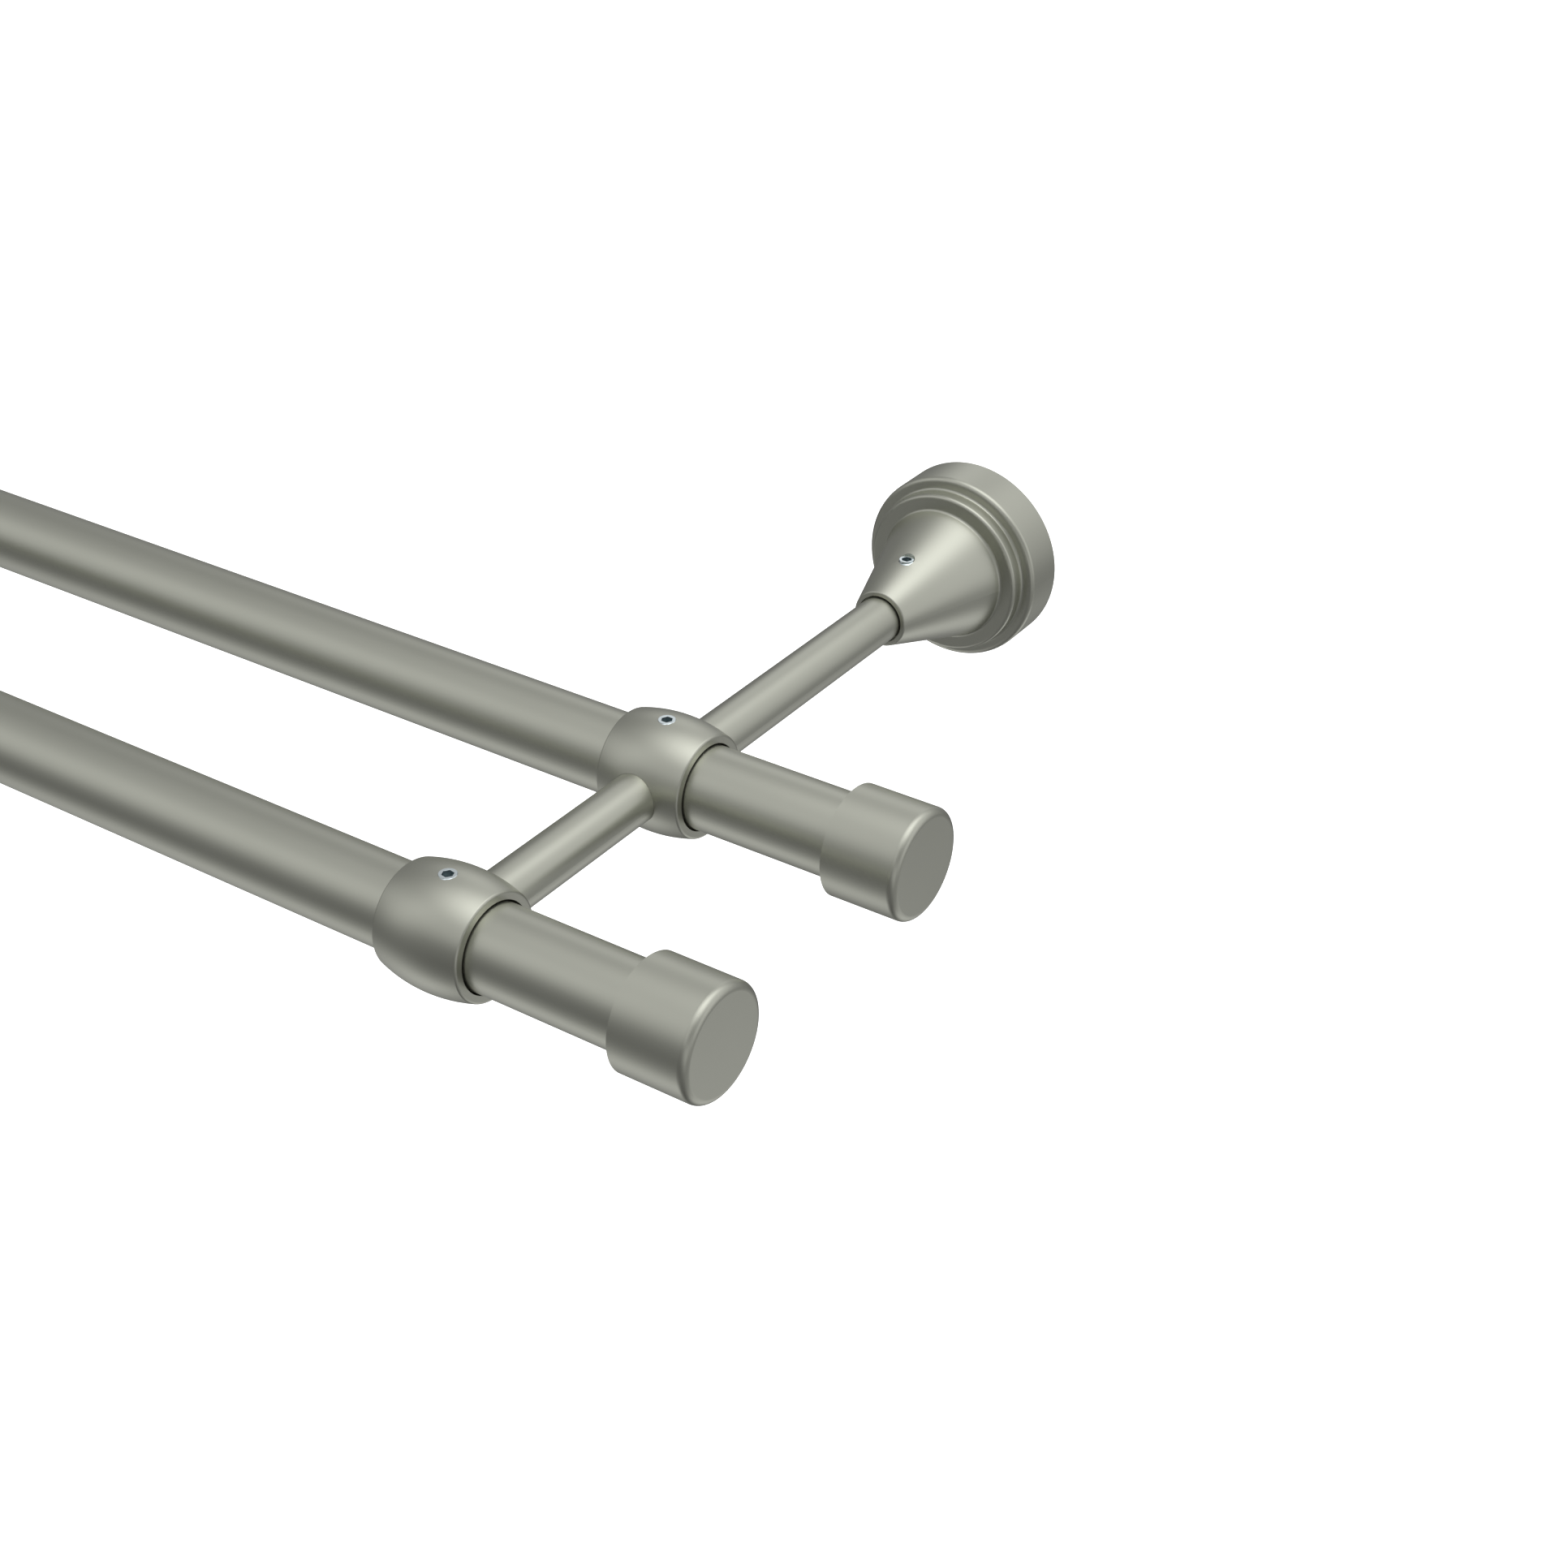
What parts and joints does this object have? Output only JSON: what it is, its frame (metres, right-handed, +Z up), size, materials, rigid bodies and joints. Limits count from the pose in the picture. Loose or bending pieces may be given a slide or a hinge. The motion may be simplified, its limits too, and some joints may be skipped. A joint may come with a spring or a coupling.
{
  "type": "double curtain rod",
  "caption": "Double curtain rod: parallel satin metal tubes in barrel rings on round stems with flared, stepped wall roses and cylindrical end caps.",
  "frame": {"origin": "on the wall plane at rod height, midway between the two wall brackets", "axes": "+X along the rods, +Y into the wall, +Z up"},
  "size_m": [1.2072, 0.2258, 0.05],
  "materials": {
    "satin_tube": "satin stainless look",
    "satin_metal": "satin stainless look",
    "plate_steel": "zinc-plated steel",
    "zinc_screws": "blue-white zinc plating",
    "liner_plastic": "moulded nylon"
  },
  "bodies": {
    "root": {"front_rod": "satin_tube", "front_cap_left": "satin_metal", "front_cap_liner_left": "liner_plastic", "front_ring_left": "satin_metal", "front_stem_left": "satin_metal", "front_cap_right": "satin_metal", "front_cap_liner_right": "liner_plastic", "front_ring_right": "satin_metal", "front_stem_right": "satin_metal", "rear_rod": "satin_tube", "rear_cap_left": "satin_metal", "rear_cap_liner_left": "liner_plastic", "rear_ring_left": "satin_metal", "rear_stem_left": "satin_metal", "rear_cap_right": "satin_metal", "rear_cap_liner_right": "liner_plastic", "rear_ring_right": "satin_metal", "rear_stem_right": "satin_metal", "wall_rose_left": "satin_metal", "wall_plate_left": "plate_steel", "wall_rose_right": "satin_metal", "wall_plate_right": "plate_steel", "ring_set_screws": "zinc_screws", "rose_set_screws": "zinc_screws", "stem_screws": "zinc_screws", "plate_screws": "zinc_screws"}
  },
  "joints": []
}
